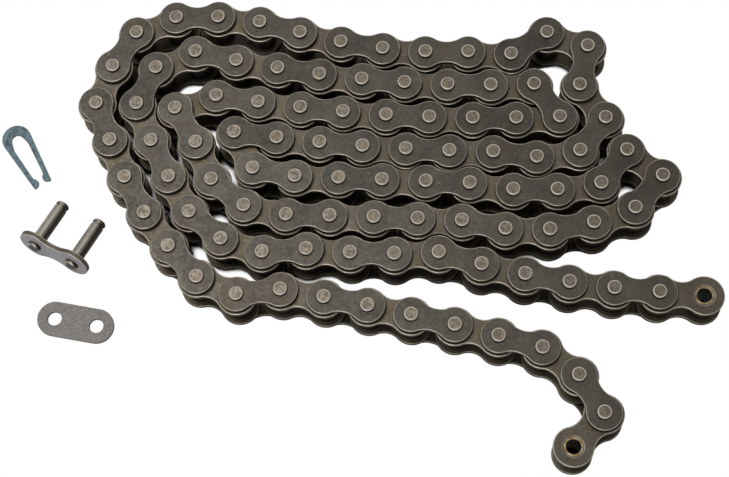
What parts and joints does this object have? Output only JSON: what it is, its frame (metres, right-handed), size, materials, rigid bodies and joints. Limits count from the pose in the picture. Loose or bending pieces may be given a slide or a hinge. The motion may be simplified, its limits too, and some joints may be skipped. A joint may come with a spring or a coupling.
{
  "type": "roller drive chain",
  "caption": "Roller drive chain for a motorcycle, coiled flat with both ends free to swing, with its loose spring-clip connecting link, cover plate and clip.",
  "frame": {"origin": "middle of the open bush at the front end of the chain, on the mid-plane halfway between the two rows of plates", "axes": "+Z along that bush and every chain pin, away from the surface the chain lies on; +X along the long way of the coil, towards its two open ends; +Y from the front end towards the coil"},
  "size_m": [0.2672, 0.1771, 0.0206],
  "materials": {
    "outer_plate": "dark blued steel, satin, with bright worn edges",
    "inner_plate": "browned steel, satin, with fine orange-brown rust specks",
    "rejoined_plate": "lighter tan-grey steel, satin, from a newer link",
    "pin": "ground steel with mottled, slightly stained end faces",
    "bush": "hardened steel with a straw tint",
    "roller": "dark steel under a film of old grease",
    "connecting_plate": "plain grey steel, satin",
    "connecting_pin": "polished steel",
    "cover_plate": "matt zinc grey with small brown spots",
    "spring_clip": "blue-grey tempered spring steel with fine scratches"
  },
  "bodies": {
    "coil": {"coil_outer_plates_upper": "outer_plate", "coil_outer_plates_lower": "outer_plate", "coil_inner_plates_upper": "inner_plate", "coil_inner_plates_lower": "inner_plate", "coil_bushes": "bush", "coil_rollers": "roller", "coil_pins": "pin"},
    "front_link_01": {"front_01_inner_plates": "inner_plate", "front_01_bushes": "bush"},
    "front_end_roller": {"front_01_end_roller": "roller"},
    "front_second_roller": {"front_01_second_roller": "roller"},
    "front_link_02": {"front_02_outer_plates": "outer_plate", "front_02_pins": "pin"},
    "front_link_03": {"front_03_inner_plates": "inner_plate", "front_03_bushes": "bush", "front_03_rollers": "roller"},
    "front_link_04": {"front_04_outer_plates": "outer_plate", "front_04_pins": "pin"},
    "front_link_05": {"front_05_inner_plates": "inner_plate", "front_05_bushes": "bush", "front_05_rollers": "roller"},
    "front_link_06": {"front_06_outer_plates": "outer_plate", "front_06_pins": "pin"},
    "front_link_07": {"front_07_inner_plates": "inner_plate", "front_07_bushes": "bush", "front_07_rollers": "roller"},
    "front_link_08": {"front_08_outer_plates": "outer_plate", "front_08_pins": "pin"},
    "front_link_09": {"front_09_inner_plates": "inner_plate", "front_09_bushes": "bush", "front_09_rollers": "roller"},
    "front_link_10": {"front_10_outer_plates": "rejoined_plate", "front_10_pins": "pin"},
    "front_link_11": {"front_11_inner_plates": "inner_plate", "front_11_bushes": "bush", "front_11_rollers": "roller"},
    "front_link_12": {"front_12_outer_plates": "outer_plate", "front_12_pins": "pin"},
    "right_link_01": {"right_01_inner_plates": "inner_plate", "right_01_bushes": "bush"},
    "right_end_roller": {"right_01_end_roller": "roller"},
    "right_second_roller": {"right_01_second_roller": "roller"},
    "right_link_02": {"right_02_outer_plates": "outer_plate", "right_02_pins": "pin"},
    "right_link_03": {"right_03_inner_plates": "inner_plate", "right_03_bushes": "bush", "right_03_rollers": "roller"},
    "right_link_04": {"right_04_outer_plates": "outer_plate", "right_04_pins": "pin"},
    "right_link_05": {"right_05_inner_plates": "inner_plate", "right_05_bushes": "bush", "right_05_rollers": "roller"},
    "right_link_06": {"right_06_outer_plates": "outer_plate", "right_06_pins": "pin"},
    "connecting_link": {"connecting_plate": "connecting_plate", "connecting_pin_a": "connecting_pin", "connecting_pin_b": "connecting_pin"},
    "loose_cover_plate": {"cover_plate": "cover_plate"},
    "loose_spring_clip": {"spring_clip": "spring_clip"}
  },
  "joints": [
    {"name": "front_joint_12", "type": "hinge", "parent": "coil", "child": "front_link_12", "pos_m": [-0.14427, 0.07215, 0], "axis": [0, 0, 1], "range_deg": [-60, 1]},
    {"name": "front_joint_11", "type": "hinge", "parent": "front_link_12", "child": "front_link_11", "pos_m": [-0.13344, 0.06054, 0], "axis": [0, 0, -1], "range_deg": [-1, 75]},
    {"name": "front_joint_10", "type": "hinge", "parent": "front_link_11", "child": "front_link_10", "pos_m": [-0.11894, 0.05408, 0], "axis": [0, 0, 1], "range_deg": [-40, 3]},
    {"name": "front_joint_09", "type": "hinge", "parent": "front_link_10", "child": "front_link_09", "pos_m": [-0.10317, 0.05588, 0], "axis": [0, 0, -1], "range_deg": [-5, 45]},
    {"name": "front_joint_08", "type": "hinge", "parent": "front_link_09", "child": "front_link_08", "pos_m": [-0.08753, 0.05312, 0], "axis": [0, 0, 1], "range_deg": [-45, 6]},
    {"name": "front_joint_07", "type": "hinge", "parent": "front_link_08", "child": "front_link_07", "pos_m": [-0.07195, 0.05006, 0], "axis": [0, 0, -1], "range_deg": [-8, 60]},
    {"name": "front_joint_06", "type": "hinge", "parent": "front_link_07", "child": "front_link_06", "pos_m": [-0.05644, 0.04671, 0], "axis": [0, 0, 1], "range_deg": [-75, 12]},
    {"name": "front_joint_05", "type": "hinge", "parent": "front_link_06", "child": "front_link_05", "pos_m": [-0.04099, 0.04306, 0], "axis": [0, 0, -1], "range_deg": [-20, 115]},
    {"name": "front_joint_04", "type": "hinge", "parent": "front_link_05", "child": "front_link_04", "pos_m": [-0.02561, 0.03911, 0], "axis": [0, 0, 1], "range_deg": [-116, 36]},
    {"name": "front_joint_03", "type": "hinge", "parent": "front_link_04", "child": "front_link_03", "pos_m": [-0.01031, 0.03487, 0], "axis": [0, 0, -1], "range_deg": [-60, 96]},
    {"name": "front_joint_02", "type": "hinge", "parent": "front_link_03", "child": "front_link_02", "pos_m": [0.00219, 0.02509, 0], "axis": [0, 0, 1], "range_deg": [-82, 100]},
    {"name": "front_joint_01", "type": "hinge", "parent": "front_link_02", "child": "front_link_01", "pos_m": [0.01073, 0.0117, 0], "axis": [0, 0, -1], "range_deg": [-120, 48]},
    {"name": "right_joint_06", "type": "hinge", "parent": "coil", "child": "right_link_06", "pos_m": [-0.04681, 0.06982, 0], "axis": [0, 0, 1], "range_deg": [-4, 1]},
    {"name": "right_joint_05", "type": "hinge", "parent": "right_link_06", "child": "right_link_05", "pos_m": [-0.03155, 0.06544, 0], "axis": [0, 0, -1], "range_deg": [-10, 15]},
    {"name": "right_joint_04", "type": "hinge", "parent": "right_link_05", "child": "right_link_04", "pos_m": [-0.01611, 0.06179, 0], "axis": [0, 0, 1], "range_deg": [-34, 18]},
    {"name": "right_joint_03", "type": "hinge", "parent": "right_link_04", "child": "right_link_03", "pos_m": [-0.0005, 0.05887, 0], "axis": [0, 0, -1], "range_deg": [-30, 50]},
    {"name": "right_joint_02", "type": "hinge", "parent": "right_link_03", "child": "right_link_02", "pos_m": [0.01522, 0.05669, 0], "axis": [0, 0, 1], "range_deg": [-80, 50]},
    {"name": "right_joint_01", "type": "hinge", "parent": "right_link_02", "child": "right_link_01", "pos_m": [0.03103, 0.05525, 0], "axis": [0, 0, -1], "range_deg": [-120, 120]},
    {"name": "front_end_roller_spin", "type": "hinge", "parent": "front_link_01", "child": "front_end_roller", "pos_m": [0, 0, 0], "axis": [0, 0, 1], "continuous": true},
    {"name": "front_second_roller_spin", "type": "hinge", "parent": "front_link_01", "child": "front_second_roller", "pos_m": [0.01073, 0.0117, 0], "axis": [0, 0, 1], "continuous": true},
    {"name": "right_end_roller_spin", "type": "hinge", "parent": "right_link_01", "child": "right_end_roller", "pos_m": [0.04689, 0.05456, 0], "axis": [0, 0, 1], "continuous": true},
    {"name": "right_second_roller_spin", "type": "hinge", "parent": "right_link_01", "child": "right_second_roller", "pos_m": [0.03103, 0.05525, 0], "axis": [0, 0, 1], "continuous": true},
    {"name": "connecting_link_lift", "type": "slide", "parent": "coil", "child": "connecting_link", "axis": [0, 0, 1], "range_m": [0, 0.06]},
    {"name": "cover_plate_lift", "type": "slide", "parent": "coil", "child": "loose_cover_plate", "axis": [0, 0, 1], "range_m": [0, 0.06]},
    {"name": "spring_clip_lift", "type": "slide", "parent": "coil", "child": "loose_spring_clip", "axis": [0, 0, 1], "range_m": [0, 0.06]}
  ]
}
